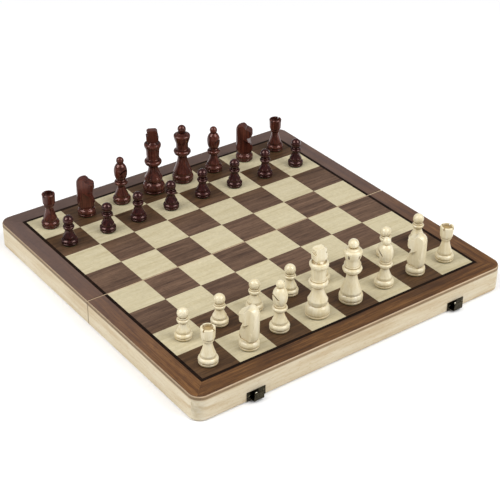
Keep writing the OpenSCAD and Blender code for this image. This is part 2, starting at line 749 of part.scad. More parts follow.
// A man and its felt, standing on its square.
module man(s, row, f) {
    off = row == 0 ? home_off[s][f] : pawn_off[s][f];
    rank = s == 0 ? row : 7 - row;
    kind = row == 0 ? home_men[f] : "pawn";
    foot_r = kind == "king" ? king_foot_r : kind == "queen" ? queen_foot_r :
             kind == "bishop" ? bishop_foot_r : kind == "knight" ? knight_foot_r :
             kind == "rook" ? rook_foot_r : pawn_foot_r;
    translate([(f - 3.5) * square_w + off[0], (rank - 3.5) * square_w + off[1], top_z]) {
        color(green_felt) foot_felt(foot_r);
        color(men_colours[s]) {
            if (kind == "king") rotate([0, 0, king_turn[s]]) king();
            if (kind == "queen") queen();
            if (kind == "bishop") bishop(bishop_turn[s][f < 4 ? 0 : 1]);
            if (kind == "knight") rotate([0, 0, knight_turn[s]]) knight();
            if (kind == "rook") rook();
            if (kind == "pawn") pawn();
        }
    }
}

front_latch_wall();
front_side_walls();
front_hinge_wall();
front_panel();
front_border_veneer();
front_inlay_line();
color(walnut) squares(0, 0);  // front_dark_squares
color(maple) squares(0, 1);  // front_light_squares
front_felt_lining();
hinge_leaves(true, hinge_pin_r + snug_gap);  // front_hinge_leaves
hinge_pins();
fasteners();  // front_fasteners
latch_keepers();
to_back() front_latch_wall();  // back_latch_wall
to_back() front_side_walls();  // back_side_walls
to_back() front_hinge_wall();  // back_hinge_wall
to_back() front_panel();  // back_panel
to_back() front_border_veneer();  // back_border_veneer
to_back() front_inlay_line();  // back_inlay_line
color(walnut) squares(4, 0);  // back_dark_squares
color(maple) squares(4, 1);  // back_light_squares
to_back() front_felt_lining();  // back_felt_lining
to_back() hinge_leaves(false, hinge_pin_r + turn_gap);  // back_hinge_leaves
to_back() fasteners();  // back_fasteners
to_back() latch_plates();
to_back() latch_pins();
to_back() latch_lever(-1);  // latch_lever_left
to_back() latch_lever(1);  // latch_lever_right
for (s = [0, 1]) for (row = [0, 1]) for (f = [0:7])
    man(s, row, f);
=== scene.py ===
import math
import bpy
import bmesh
from mathutils import Matrix, Vector, noise


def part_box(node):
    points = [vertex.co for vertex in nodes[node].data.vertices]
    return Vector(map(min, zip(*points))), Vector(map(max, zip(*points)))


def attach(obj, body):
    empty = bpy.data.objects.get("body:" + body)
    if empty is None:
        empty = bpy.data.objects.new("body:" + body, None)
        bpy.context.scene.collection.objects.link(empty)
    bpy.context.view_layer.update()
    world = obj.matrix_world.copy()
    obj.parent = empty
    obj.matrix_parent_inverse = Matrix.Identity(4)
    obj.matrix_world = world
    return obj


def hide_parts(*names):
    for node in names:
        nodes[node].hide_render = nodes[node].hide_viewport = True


# Folding chess box, opened flat, with its men set up. Lengths in metres.

print("chess box: loading the frame")
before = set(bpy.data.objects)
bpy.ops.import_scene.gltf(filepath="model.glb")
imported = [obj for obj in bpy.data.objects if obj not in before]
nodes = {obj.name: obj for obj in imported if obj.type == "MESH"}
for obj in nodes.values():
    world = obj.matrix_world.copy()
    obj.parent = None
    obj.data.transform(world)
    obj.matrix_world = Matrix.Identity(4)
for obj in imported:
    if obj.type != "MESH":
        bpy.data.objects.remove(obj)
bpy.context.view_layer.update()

board = {
    "square": 0.042,
    "top": 0.0286,        # playing surface
    "footFelt": 0.0008,   # felt under each man
}


def srgb(red, green, blue):
    # 0-255 screen colour to the linear values that shaders use
    shares = [channel / 255 for channel in (red, green, blue)]
    linear = [c / 12.92 if c <= 0.04045 else ((c + 0.055) / 1.055) ** 2.4 for c in shares]
    return (*linear, 1.0)


# Shader helpers

def put(tree, kind, links=None, **settings):
    # adds a node; links maps input names or numbers to sockets or plain values
    node = tree.nodes.new("ShaderNode" + kind)
    for name, value in settings.items():
        setattr(node, name, value)
    for key, value in (links or {}).items():
        if isinstance(value, bpy.types.NodeSocket):
            tree.links.new(value, node.inputs[key])
        else:
            node.inputs[key].default_value = value
    return node


def calc(tree, operation, *values):
    return put(tree, "Math", dict(enumerate(values)), operation=operation).outputs[0]


def blendColour(tree, factor, first, second, mode="MIX"):
    node = put(tree, "Mix", {0: factor, 6: first, 7: second}, data_type="RGBA", blend_type=mode)
    return node.outputs[2]


def ramp(tree, value, stops):
    # stops: (place, colour) pairs in rising order
    node = put(tree, "ValToRGB", {0: value})
    elements = node.color_ramp.elements
    for i, (place, tint) in enumerate(stops):
        element = elements[i] if i < 2 else elements.new(place)
        element.position, element.color = place, tint
    return node.outputs[0]


def remap(tree, value, low, high, outLow=0.0, outHigh=1.0):
    node = put(tree, "MapRange", {0: value, 1: low, 2: high, 3: outLow, 4: outHigh})
    return node.outputs[0]


def smoothStep(tree, value, low, high):
    node = put(tree, "MapRange", {0: value, 1: low, 2: high}, interpolation_type="SMOOTHSTEP")
    return node.outputs[0]


def noiseAt(tree, place, scale, detail, roughness=0.5):
    return put(tree, "TexNoise", {"Vector": place, "Scale": scale, "Detail": detail,
                                  "Roughness": roughness}).outputs["Fac"]


def joinXyz(tree, x, y, z):
    return put(tree, "CombineXYZ", {0: x, 1: y, 2: z}).outputs[0]


def splitXyz(tree, value):
    return put(tree, "SeparateXYZ", {0: value}).outputs


def newGroup(name, inputs, outputs):
    group = bpy.data.node_groups.new(name, "ShaderNodeTree")
    for label, kind, value in inputs:
        socket = group.interface.new_socket(label, in_out="INPUT", socket_type=kind)
        if value is not None:
            socket.default_value = value
    for label, kind in outputs:
        group.interface.new_socket(label, in_out="OUTPUT", socket_type=kind)
    start = group.nodes.new("NodeGroupInput").outputs
    end = group.nodes.new("NodeGroupOutput").inputs
    return group, start, end


number, vector = "NodeSocketFloat", "NodeSocketVector"
grainNoise = {  # along and across: cycles a metre, where no input of the group sets them
    "drift": {"along": 9.0, "across": 45.0, "detail": 3.0, "roughness": 0.5},
    "tone": {"along": 14.0, "across": 150.0, "detail": 4.0, "roughness": 0.55},
    "streak": {"along": 26.0, "detail": 3.0, "roughness": 0.55},
    "fibre": {"along": 55.0, "detail": 4.0, "roughness": 0.6},
    "pores": {"detail": 1.0, "roughness": 0.4}}
grainTone = {"middle": 0.5, "ringMiddle": 0.38, "ringPower": 1.8, "poreRange": (0.6, 0.7)}


def makeTimberGroup():
    # timber whose grain runs along the X of the position that goes in
    group, start, end = newGroup("timberGrain", [
        ("Position", vector, None),
        ("Ring Spacing", number, 0.004),
        ("Ring Waviness", number, 0.004),
        ("Heart Distance", number, 0.12),
        ("Streak Width", number, 0.002),
        ("Fibre Width", number, 0.0006),
        ("Pore Length", number, 0.004),
        ("Tone Weight", number, 1.0),
        ("Streak Weight", number, 1.0),
        ("Fibre Weight", number, 0.5),
        ("Ring Weight", number, 0.2)],
        [("Figure", number), ("Rings", number), ("Fibre", number), ("Pores", number)])
    x, y, z = splitXyz(group, start["Position"])

    def stretched(along, across, detail, roughness):
        place = joinXyz(group, calc(group, "MULTIPLY", x, along),
                        calc(group, "MULTIPLY", y, across), calc(group, "MULTIPLY", z, across))
        return noiseAt(group, place, 1.0, detail, roughness)

    drift = stretched(**grainNoise["drift"])
    away = calc(group, "ADD", y, start["Heart Distance"])
    radius = calc(group, "SQRT", calc(group, "ADD", calc(group, "MULTIPLY", away, away),
                                      calc(group, "MULTIPLY", z, z)))
    bent = calc(group, "ADD", radius, calc(group, "MULTIPLY", drift, start["Ring Waviness"]))
    turns = calc(group, "DIVIDE", bent, start["Ring Spacing"])
    wave = calc(group, "SINE", calc(group, "MULTIPLY", turns, 2 * math.pi))
    rings = calc(group, "POWER", calc(group, "MULTIPLY_ADD", wave, 0.5, 0.5),
                 grainTone["ringPower"])
    fibreAcross = calc(group, "DIVIDE", 1.0, start["Fibre Width"])
    streakAcross = calc(group, "DIVIDE", 1.0, start["Streak Width"])
    poreAlong = calc(group, "DIVIDE", 1.0, start["Pore Length"])
    tone = stretched(**grainNoise["tone"])
    streak = stretched(across=streakAcross, **grainNoise["streak"])
    fibre = stretched(across=fibreAcross, **grainNoise["fibre"])
    dashes = stretched(along=poreAlong, across=fibreAcross, **grainNoise["pores"])
    middle = grainTone["middle"]
    figure = middle
    for value, zero, weight in ((tone, middle, "Tone Weight"), (streak, middle, "Streak Weight"),
                                (fibre, middle, "Fibre Weight"),
                                (rings, grainTone["ringMiddle"], "Ring Weight")):
        figure = calc(group, "MULTIPLY_ADD", calc(group, "SUBTRACT", value, zero),
                      start[weight], figure)
    group.links.new(figure, end["Figure"])
    group.links.new(rings, end["Rings"])
    group.links.new(fibre, end["Fibre"])
    group.links.new(smoothStep(group, dashes, *grainTone["poreRange"]), end["Pores"])
    return group


timberGroup = makeTimberGroup()


def newMaterial(name):
    material = bpy.data.materials.new(name)
    material.use_nodes = True
    tree = material.node_tree
    tree.nodes.clear()
    shader = tree.nodes.new("ShaderNodeBsdfPrincipled")
    out = tree.nodes.new("ShaderNodeOutputMaterial")
    tree.links.new(shader.outputs[0], out.inputs[0])
    place = tree.nodes.new("ShaderNodeTexCoord").outputs["Object"]
    return material, tree, shader, place


def addTimber(tree, position, **values):
    node = tree.nodes.new("ShaderNodeGroup")
    node.node_tree = timberGroup
    tree.links.new(position, node.inputs["Position"])
    for name, value in values.items():
        node.inputs[name].default_value = value
    return node.outputs


def addBump(tree, shader, height, strength, distance):
    node = put(tree, "Bump", {"Height": height, "Strength": strength, "Distance": distance})
    tree.links.new(node.outputs[0], shader.inputs["Normal"])


def lacquer(shader, look):
    shader.inputs["Roughness"].default_value = look["roughness"]
    shader.inputs["Coat Weight"].default_value = look["coat"]
    shader.inputs["Coat Roughness"].default_value = look["coatRoughness"]
    shader.inputs["Specular IOR Level"].default_value = look["specular"]


# Veneers

veneer = {
    "shift": (3.0, 3.0, 0.4),   # most that two squares lie apart in the wood they are cut from
    "chanceHeight": 0.5, "turnedRaise": 0.3, "stripScale": 5.0, "cloudScale": 260.0,
    "cloudRange": (0.3, 0.7), "fibreHeight": 0.4, "bump": (0.2, 0.0001)}
walnutLook = {
    "dark": srgb(63, 45, 36), "mid": srgb(93, 71, 56), "light": srgb(120, 94, 75),
    "pore": srgb(48, 34, 27), "poreDepth": 0.45, "shade": (0.92, 1.08), "mottle": 0.06,
    "roughness": 0.5, "coat": 0.08, "coatRoughness": 0.3, "specular": 0.25,
    "timber": {"Ring Spacing": 0.0052, "Ring Waviness": 0.012, "Streak Width": 0.0011,
               "Fibre Width": 0.0006, "Pore Length": 0.006, "Tone Weight": 0.7,
               "Streak Weight": 0.6, "Fibre Weight": 0.6, "Ring Weight": 0.06}}
# the outer colour and range below paint shade on the ranks where the men stand
darkSquareLook = dict(walnutLook, outer=(0.66, 0.58, 0.4, 1.0), outerRange=(0.055, 0.115))
# the cool colour and its range below are a painted reflection on the back strips
borderLook = dict(walnutLook, dark=srgb(50, 28, 13), mid=srgb(85, 55, 29),
                  light=srgb(124, 86, 48), shade=(0.86, 1.12), backSheen=srgb(91, 76, 72),
                  backSheenRange=(-0.22, 0.12), backSheenMost=0.75, sideStripSheen=1.18)
mapleLook = {
    "dark": srgb(174, 161, 126), "mid": srgb(191, 180, 148), "light": srgb(203, 193, 164),
    "pore": srgb(158, 138, 98), "poreDepth": 0.3, "shade": (0.96, 1.03), "mottle": 0.05,
    "roughness": 0.5, "coat": 0.08, "coatRoughness": 0.3, "specular": 0.25,
    "timber": {"Ring Spacing": 0.006, "Ring Waviness": 0.010, "Streak Width": 0.0016,
               "Fibre Width": 0.0006, "Pore Length": 0.003, "Tone Weight": 0.5,
               "Streak Weight": 0.4, "Fibre Weight": 0.35, "Ring Weight": 0.04}}
figureStops = {"dark": 0.25, "mid": 0.5, "light": 0.78}


def figured(tree, grain, look):
    # the three wood colours by the figure, with darker pores
    base = ramp(tree, grain["Figure"], [(place, look[tint]) for tint, place in figureStops.items()])
    pores = calc(tree, "MULTIPLY", grain["Pores"], look["poreDepth"])
    return blendColour(tree, pores, base, look["pore"])


def squareChance(tree, x, y):
    # a random colour and number for every square, from its place on the board
    column = calc(tree, "FLOOR", calc(tree, "DIVIDE", x, board["square"]))
    row = calc(tree, "FLOOR", calc(tree, "DIVIDE", y, board["square"]))
    spot = joinXyz(tree, column, row, veneer["chanceHeight"])
    return put(tree, "TexWhiteNoise", {"Vector": spot}).outputs


def veneerMaterial(name, look, border=False):
    material, tree, shader, place = newMaterial(name)
    x, y, z = splitXyz(tree, place)
    if border:
        # strips meet in a mitre, so the grain turns where |y| passes |x|
        alongX = calc(tree, "GREATER_THAN", calc(tree, "ABSOLUTE", y), calc(tree, "ABSOLUTE", x))
        turned = joinXyz(tree, y, x, calc(tree, "ADD", z, veneer["turnedRaise"]))
        position = put(tree, "Mix", {0: alongX, 4: turned, 5: place},
                       data_type="VECTOR").outputs[1]
        shade = noiseAt(tree, position, veneer["stripScale"], detail=1.0)
    else:
        # each square is a piece of veneer of its own
        chance = squareChance(tree, x, y)
        shift = put(tree, "VectorMath", {0: chance["Color"], 1: veneer["shift"]},
                    operation="MULTIPLY").outputs[0]
        position = put(tree, "VectorMath", {0: place, 1: shift}, operation="ADD").outputs[0]
        shade = chance["Value"]
    grain = addTimber(tree, position, **look["timber"])
    base = figured(tree, grain, look)
    if border:
        # painted reflection: the strips towards the back take a greyer, cooler tint, a painted
        # sheen of the bright room
        backSheenAmount = calc(tree, "MULTIPLY", smoothStep(tree, y, *look["backSheenRange"]),
                        look["backSheenMost"])
        base = blendColour(tree, backSheenAmount, base, look["backSheen"])
    elif "outer" in look:
        # painted shade: the squares of the two ranks at each end, where the men stand, are darkened
        # and browned
        far = smoothStep(tree, calc(tree, "ABSOLUTE", y), *look["outerRange"])
        base = blendColour(tree, far, base, look["outer"], mode="MULTIPLY")
    cloud = noiseAt(tree, position, veneer["cloudScale"], detail=3.0)
    value = calc(tree, "MULTIPLY", remap(tree, shade, 0.0, 1.0, *look["shade"]),
                 remap(tree, cloud, *veneer["cloudRange"], 1 - look["mottle"],
                       1 + look["mottle"]))
    # painted sheen: the side strips, whose grain runs along Y, are made lighter
    if border:
        value = calc(tree, "MULTIPLY", value,
                     remap(tree, alongX, 0.0, 1.0, look["sideStripSheen"], 1.0))
    shaded = put(tree, "HueSaturation", {"Value": value, "Color": base})
    tree.links.new(shaded.outputs[0], shader.inputs["Base Color"])
    lacquer(shader, look)
    fibres = calc(tree, "MULTIPLY", grain["Fibre"], veneer["fibreHeight"])
    addBump(tree, shader, calc(tree, "SUBTRACT", fibres, grain["Pores"]), *veneer["bump"])
    return material


lineLook = {"dark": srgb(16, 8, 5), "mid": srgb(26, 15, 9), "light": srgb(38, 24, 15),
            "pore": srgb(10, 6, 4), "poreDepth": 0.4, "roughness": 0.6, "coat": 0.0,
            "coatRoughness": 0.3, "specular": 0.08, "bump": (0.2, 0.0001),
            "timber": {"Streak Weight": 1.0, "Fibre Weight": 0.8}}


def lineMaterial():
    material, tree, shader, place = newMaterial("blackLine")
    grain = addTimber(tree, place, **lineLook["timber"])
    tree.links.new(figured(tree, grain, lineLook), shader.inputs["Base Color"])
    lacquer(shader, lineLook)
    addBump(tree, shader, grain["Fibre"], *lineLook["bump"])
    return material


# Walls and panel

plyLook = {
    "cream": srgb(170, 145, 115), "creamLight": srgb(186, 163, 132), "band": srgb(147, 123, 90),
    "bandDark": srgb(117, 94, 67), "glue": srgb(104, 82, 56), "glueDepth": 0.8,
    "bandHigh": 0.0274, "glueHigh": 0.0252, "edge": 0.0004, "ragged": 0.0003,
    "coreRange": (0.35, 0.7), "skinRange": (0.3, 0.7), "sideRange": (0.2, 0.6), "side": 0.8,
    "roughness": 0.55, "coat": 0.05, "coatRoughness": 0.3, "specular": 0.3,
    "bump": (0.3, 0.0001), "timber": {"Fibre Width": 0.0005, "Streak Width": 0.001}}
pineLook = {
    "dark": srgb(186, 167, 135), "mid": srgb(200, 186, 157), "light": srgb(209, 199, 177),
    "pore": srgb(170, 134, 88), "poreDepth": 0.3, "endDark": srgb(158, 147, 122),
    "endLight": srgb(198, 188, 162), "endDepth": 0.55, "endRange": (0.1, 1.0),
    "slant": 0.3, "speckleScale": 260.0, "speckleRange": (0.35, 0.65),
    "stainRange": (0.0231, 0.0245), "stainDepth": 0.85, "ringHeight": 0.4,
    "seam": 0.0006, "seamDark": srgb(112, 96, 74), "seamDepth": 0.7,
    "roughness": 0.55, "coat": 0.05, "coatRoughness": 0.3, "specular": 0.3,
    "bump": (0.3, 0.00012),
    "timber": {"Ring Spacing": 0.0058, "Ring Waviness": 0.010, "Streak Width": 0.0024,
               "Fibre Width": 0.0009, "Pore Length": 0.004, "Tone Weight": 0.8,
               "Streak Weight": 0.6, "Fibre Weight": 0.3, "Ring Weight": -0.2}}


def pineMaterial(name, alongX):
    material, tree, shader, place = newMaterial(name)
    look = pineLook
    x, y, z = splitXyz(tree, place)
    position = joinXyz(tree, x, y, z) if alongX else joinXyz(tree, y, x, z)
    grain = addTimber(tree, position, **look["timber"])
    normal = splitXyz(tree, put(tree, "NewGeometry").outputs["Normal"])
    facing = calc(tree, "ABSOLUTE", normal[0 if alongX else 1])
    endGrain = calc(tree, "MULTIPLY", smoothStep(tree, facing, *look["endRange"]),
                    look["endDepth"])
    slanted = joinXyz(tree, calc(tree, "ADD", x, y), z, calc(tree, "MULTIPLY", x, look["slant"]))
    speckle = noiseAt(tree, slanted, look["speckleScale"], detail=3.0)
    ends = blendColour(tree, remap(tree, speckle, *look["speckleRange"]),
                       look["endDark"], look["endLight"])
    base = blendColour(tree, endGrain, figured(tree, grain, look), ends)
    # glue and stain from the panel have run into the top of the wall
    stain = calc(tree, "MULTIPLY", smoothStep(tree, z, *look["stainRange"]), look["stainDepth"])
    base = blendColour(tree, stain, base, plyLook["band"])
    if not alongX:
        # the side walls darken where the two halves meet
        seam = smoothStep(tree, calc(tree, "ABSOLUTE", y), 2 * look["seam"], look["seam"])
        base = blendColour(tree, calc(tree, "MULTIPLY", seam, look["seamDepth"]), base,
                           look["seamDark"])
    tree.links.new(base, shader.inputs["Base Color"])
    lacquer(shader, look)
    ridges = calc(tree, "MULTIPLY", grain["Rings"], look["ringHeight"])
    addBump(tree, shader, calc(tree, "ADD", grain["Fibre"], ridges), *look["bump"])
    return material


def plyMaterial():
    # a pale top ply over a darker core, with a line of glue where the panel meets the wall
    material, tree, shader, place = newMaterial("plywoodEdge")
    look = plyLook
    x, y, z = splitXyz(tree, place)
    grain = addTimber(tree, place, **look["timber"])
    ragged = calc(tree, "MULTIPLY_ADD", calc(tree, "SUBTRACT", grain["Fibre"], 0.5),
                  look["ragged"], z)
    below = smoothStep(tree, ragged, look["bandHigh"], look["bandHigh"] - look["edge"])
    core = blendColour(tree, remap(tree, grain["Fibre"], *look["coreRange"]),
                       look["bandDark"], look["band"])
    skin = blendColour(tree, remap(tree, grain["Figure"], *look["skinRange"]),
                       look["cream"], look["creamLight"])
    base = blendColour(tree, below, skin, core)
    joint = smoothStep(tree, ragged, look["glueHigh"], look["glueHigh"] - look["edge"])
    base = blendColour(tree, calc(tree, "MULTIPLY", joint, look["glueDepth"]), base, look["glue"])
    # the edge faces that point along X are darker
    facing = splitXyz(tree, put(tree, "NewGeometry").outputs["Normal"])[0]
    value = remap(tree, calc(tree, "ABSOLUTE", facing), *look["sideRange"], 1.0, look["side"])
    shaded = put(tree, "HueSaturation", {"Value": value, "Color": base})
    tree.links.new(shaded.outputs[0], shader.inputs["Base Color"])
    lacquer(shader, look)
    addBump(tree, shader, grain["Fibre"], *look["bump"])
    return material


# Felt

feltLook = {
    "dark": srgb(20, 66, 42), "light": srgb(44, 104, 70), "fuzzScale": 2600.0,
    "fuzzRoughness": 0.7, "fuzzRange": (0.3, 0.7), "patchScale": 90.0, "patchDepth": 0.4,
    "roughness": 0.95, "sheen": 0.35, "sheenRoughness": 0.5, "specular": 0.2,
    "bump": (0.6, 0.0003)}


def feltColour(tree, place):
    fuzz = noiseAt(tree, place, feltLook["fuzzScale"], detail=3.0,
                   roughness=feltLook["fuzzRoughness"])
    patch = noiseAt(tree, place, feltLook["patchScale"], detail=2.0)
    base = blendColour(tree, remap(tree, fuzz, *feltLook["fuzzRange"]),
                       feltLook["dark"], feltLook["light"])
    worn = calc(tree, "MULTIPLY", patch, feltLook["patchDepth"])
    return blendColour(tree, worn, base, feltLook["dark"]), fuzz


def feltMaterial():
    material, tree, shader, place = newMaterial("greenFelt")
    base, fuzz = feltColour(tree, place)
    tree.links.new(base, shader.inputs["Base Color"])
    shader.inputs["Roughness"].default_value = feltLook["roughness"]
    shader.inputs["Sheen Weight"].default_value = feltLook["sheen"]
    shader.inputs["Sheen Roughness"].default_value = feltLook["sheenRoughness"]
    shader.inputs["Specular IOR Level"].default_value = feltLook["specular"]
    addBump(tree, shader, fuzz, *feltLook["bump"])
    return material


# Men

# the hollow and occlusion ranges below set the painted shade in the men's grooves and under their
# collars
menShadeAndFinish = {"hollowShadeRange": (0.495, 0.455), "reach": 0.007, "occlusionShadeRange": (0.95, 0.3),
          "feltSlack": 0.00002, "bump": (0.1, 0.00008)}
menTimber = {"Ring Spacing": 0.0034, "Ring Waviness": 0.006, "Streak Width": 0.0014,
             "Fibre Width": 0.0006, "Pore Length": 0.003, "Tone Weight": 0.8,
             "Streak Weight": 0.7, "Fibre Weight": 0.3, "Ring Weight": 0.1}
# each look's groove colour and its two depths are painted shade for the grooves and collar
# undersides
darkPieceLook = {
    "name": "darkPieces", "dark": srgb(40, 17, 13), "mid": srgb(68, 33, 25),
    "light": srgb(96, 50, 37), "pore": srgb(30, 12, 10), "poreDepth": 0.4,
    "hollowShadeColour": srgb(20, 7, 6), "hollowShadeDepth": 0.7, "occlusionShadeDepth": 0.75, "roughness": 0.15,
    "coat": 0.06, "coatRoughness": 0.04, "specular": 0.55, "tint": (1.0, 0.62, 0.55, 1.0),
    "timber": menTimber}
darkPawnLook = dict(darkPieceLook, name="darkPawns", dark=srgb(24, 7, 8), mid=srgb(40, 14, 15),
                    light=srgb(64, 26, 24))
lightManLook = {
    "name": "lightMen", "dark": srgb(206, 190, 148), "mid": srgb(221, 209, 176),
    "light": srgb(229, 221, 196), "pore": srgb(190, 168, 120), "poreDepth": 0.2,
    "hollowShadeColour": srgb(152, 122, 66), "hollowShadeDepth": 0.8, "occlusionShadeDepth": 0.8, "roughness": 0.3,
    "coat": 0.5, "coatRoughness": 0.1, "specular": 0.35, "tint": (1.0, 0.97, 0.92, 1.0),
    "timber": dict(menTimber, **{"Tone Weight": 0.9, "Streak Weight": 0.3,
                                 "Fibre Weight": 0.2, "Ring Weight": 0.05})}


def menMaterial(look):
    material, tree, shader, place = newMaterial(look["name"])
    x, y, z = splitXyz(tree, place)
    grain = addTimber(tree, joinXyz(tree, z, x, y), **look["timber"])
    base = figured(tree, grain, look)
    # painted shade: the colour darkens in the grooves and under the collars, by pointiness and
    # ambient occlusion
    hollow = smoothStep(tree, put(tree, "NewGeometry").outputs["Pointiness"],
                        *menShadeAndFinish["hollowShadeRange"])
    near = put(tree, "AmbientOcclusion", {"Distance": menShadeAndFinish["reach"]}, samples=8).outputs["AO"]
    occlusionShade = calc(tree, "MULTIPLY", smoothStep(tree, near, *menShadeAndFinish["occlusionShadeRange"]),
                  look["occlusionShadeDepth"])
    depth = calc(tree, "MAXIMUM", calc(tree, "MULTIPLY", hollow, look["hollowShadeDepth"]), occlusionShade)
    base = blendColour(tree, depth, base, look["hollowShadeColour"])
    # the lowest slice of each man is its felt
    felt, fuzz = feltColour(tree, place)
    isWood = calc(tree, "GREATER_THAN", z,
                  board["top"] + board["footFelt"] - menShadeAndFinish["feltSlack"])
    base = blendColour(tree, isWood, felt, base)
    roughness = remap(tree, isWood, 0.0, 1.0, feltLook["roughness"], look["roughness"])
    tree.links.new(base, shader.inputs["Base Color"])
    tree.links.new(roughness, shader.inputs["Roughness"])
    tree.links.new(calc(tree, "MULTIPLY", isWood, look["coat"]), shader.inputs["Coat Weight"])
    shader.inputs["Coat Roughness"].default_value = look["coatRoughness"]
    shader.inputs["Specular IOR Level"].default_value = look["specular"]
    shader.inputs["Specular Tint"].default_value = look["tint"]
    addBump(tree, shader, grain["Fibre"], *menShadeAndFinish["bump"])
    return material


# Metal

metal = {"patchScale": 420.0, "patchRoughness": 0.6, "patchRange": (0.35, 0.65),
         "gritScale": 3200.0, "gritRange": (0.45, 0.75), "edgeRange": (0.52, 0.7),
         "wearMost": 0.5, "roughRange": (0.3, 0.7), "bump": (0.15, 0.00005)}
bronzeLook = {"dark": srgb(24, 21, 15), "mid": srgb(54, 49, 36), "worn": srgb(124, 115, 90),
              "roughness": (0.16, 0.34)}
brassLook = {"dark": srgb(150, 118, 62), "mid": srgb(206, 172, 104),
             "worn": srgb(206, 172, 104), "roughness": (0.2, 0.36)}
screwLook = dict(brassLook, roughness=(0.16, 0.32))
# the bright colour is a painted highlight for the middle nail of each latch
nailLook = {"dark": srgb(50, 46, 36), "light": srgb(96, 90, 72), "paintedGlint": srgb(238, 232, 208),
            "latch": 0.1245, "middleWidth": 0.002, "fromSeam": 0.1}


def metalMaterial(name, look, nails=None):
    material, tree, shader, place = newMaterial(name)
    patches = noiseAt(tree, place, metal["patchScale"], detail=5.0,
                      roughness=metal["patchRoughness"])
    grit = noiseAt(tree, place, metal["gritScale"], detail=3.0)
    edge = put(tree, "NewGeometry").outputs["Pointiness"]
    tarnish = smoothStep(tree, patches, *metal["patchRange"])
    base = blendColour(tree, tarnish, look["dark"], look["mid"])
    worn = look["worn"]
    if nails:
        # the latch nails, far from the seam, are a paler metal than the hinge screws
        x, y, z = splitXyz(tree, place)
        isNail = calc(tree, "GREATER_THAN", calc(tree, "ABSOLUTE", y), nails["fromSeam"])
        pale = blendColour(tree, tarnish, nails["dark"], nails["light"])
        # painted highlight: the middle nail of each latch is coloured near white
        off = calc(tree, "ABSOLUTE", calc(tree, "SUBTRACT", calc(tree, "ABSOLUTE", x),
                                          nails["latch"]))
        isGlintNail = calc(tree, "LESS_THAN", off, nails["middleWidth"])
        pale = blendColour(tree, isGlintNail, pale, nails["paintedGlint"])
        base = blendColour(tree, isNail, base, pale)
        worn = blendColour(tree, isNail, worn, nails["light"])
    wear = calc(tree, "MULTIPLY", smoothStep(tree, edge, *metal["edgeRange"]),
                remap(tree, grit, *metal["gritRange"], 0.0, metal["wearMost"]))
    base = blendColour(tree, wear, base, worn)
    tree.links.new(base, shader.inputs["Base Color"])
    shader.inputs["Metallic"].default_value = 1.0
    roughness = remap(tree, patches, *metal["roughRange"], *look["roughness"])
    tree.links.new(roughness, shader.inputs["Roughness"])
    addBump(tree, shader, grit, *metal["bump"])
    return material


print("chess box: finishes")
pineX = pineMaterial("pineAlongX", True)
pineY = pineMaterial("pineAlongY", False)
finishes = {
    "latch_wall": pineX, "hinge_wall": pineX, "side_walls": pineY, "panel": plyMaterial(),
    "border_veneer": veneerMaterial("walnutBorder", borderLook, border=True),
    "dark_squares": veneerMaterial("walnutSquares", darkSquareLook),
    "light_squares": veneerMaterial("mapleSquares", mapleLook),
    "inlay_line": lineMaterial(), "felt_lining": feltMaterial()}
bronze = metalMaterial("antiqueBronze", bronzeLook)
brass = metalMaterial("brass", brassLook)
fasteners = metalMaterial("screwsAndNails", screwLook, nailLook)
darkPieces, darkPawns = menMaterial(darkPieceLook), menMaterial(darkPawnLook)
lightMen = menMaterial(lightManLook)


def finishFor(name):
    for ending, material in finishes.items():
        if name in ("front_" + ending, "back_" + ending):
            return material
    if name.startswith("dark_"):
        return darkPawns if "pawn" in name else darkPieces
    if name.startswith("light_"):
        return lightMen
    if name.endswith("_fasteners"):
        return fasteners
    return bronze if name.startswith("latch") and name != "latch_pins" else brass


for name, piece in nodes.items():
    piece.data.materials.clear()
    piece.data.materials.append(finishFor(name))

# New pieces


def addPiece(name, shape, material, body, smooth=False):
    bmesh.ops.recalc_face_normals(shape, faces=shape.faces)
    mesh = bpy.data.meshes.new(name)
    shape.to_mesh(mesh)
    shape.free()
    mesh.materials.append(material)
    if smooth:
        mesh.shade_smooth()
    piece = bpy.data.objects.new(name, mesh)
    bpy.context.scene.collection.objects.link(piece)
    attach(piece, body)
    return piece


print("chess box: felt linings")
felt = {"columns": 72, "rows": 36, "uneven": 0.00016, "wave": 70.0, "waveHeight": 0.5,
        "cut": 0.00035, "inset": 0.00003, "nearEdge": 0.00001}


def feltLining(half):
    # the glued sheet: flat above, slightly uneven below, its cut edge a little rounded
    low, high = (Vector(corner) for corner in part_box(half + "_felt_lining"))
    size = high - low
    top = Vector((*low.lerp(high, 0.5).xy, high.z - felt["inset"]))
    matrix = Matrix.Translation(top) @ Matrix.Diagonal((size.x, size.y, 1.0, 1.0))
    shape = bmesh.new()
    bmesh.ops.create_grid(shape, x_segments=felt["columns"], y_segments=felt["rows"], size=0.5,
                          matrix=matrix)
    made = bmesh.ops.extrude_face_region(shape, geom=shape.faces[:])["geom"]
    for point in (item for item in made if isinstance(item, bmesh.types.BMVert)):
        x, y, z = point.co
        isEdge = min(x - low.x, high.x - x, y - low.y, high.y - y) < felt["nearEdge"]
        bump = noise.noise(Vector((x, y, felt["waveHeight"])) * felt["wave"]) * 0.5 + 0.5
        point.co.z = low.z + felt["uneven"] * bump + isEdge * felt["cut"]
    piece = addPiece(half + "_felt_sheet", shape, finishes["felt_lining"], half + "_half",
                     smooth=True)
    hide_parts(half + "_felt_lining")


for half in ("front", "back"):
    feltLining(half)

print("chess box: screw slots and crown notches")


def recessMaterial(name, look):
    material, tree, shader, place = newMaterial(name)
    speck = noiseAt(tree, place, look["speckScale"], detail=3.0)
    base = blendColour(tree, speck, look["dark"], look["light"])
    tree.links.new(base, shader.inputs["Base Color"])
    lacquer(shader, look)
    addBump(tree, shader, speck, *look["bump"])
    return material


